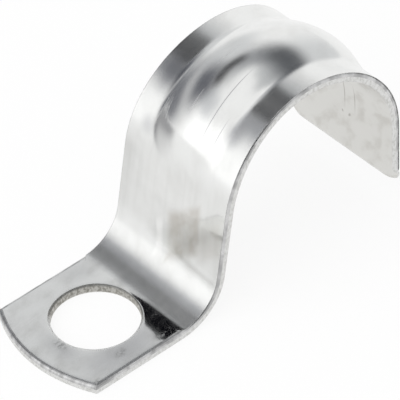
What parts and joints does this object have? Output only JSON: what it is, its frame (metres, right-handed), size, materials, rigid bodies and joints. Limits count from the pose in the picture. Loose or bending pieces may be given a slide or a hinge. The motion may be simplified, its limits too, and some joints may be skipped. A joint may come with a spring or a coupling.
{
  "type": "conduit strap",
  "caption": "One-hole conduit strap: a folded strip of zinc-plated steel that clamps a conduit to a wall, with a screw tab and an arched saddle stiffened by an embossed bead.",
  "frame": {"origin": "centre of the screw hole, on the tab's underside, which is the mounting plane", "axes": "+X from the screw hole towards the conduit, +Y along the conduit, +Z away from the mounting surface"},
  "size_m": [0.0356, 0.0126, 0.0193],
  "materials": {
    "zinc_plated_steel": "bright zinc plate, lightly smudged and scratched"
  },
  "bodies": {
    "root": {"strap": "zinc_plated_steel"}
  },
  "joints": []
}
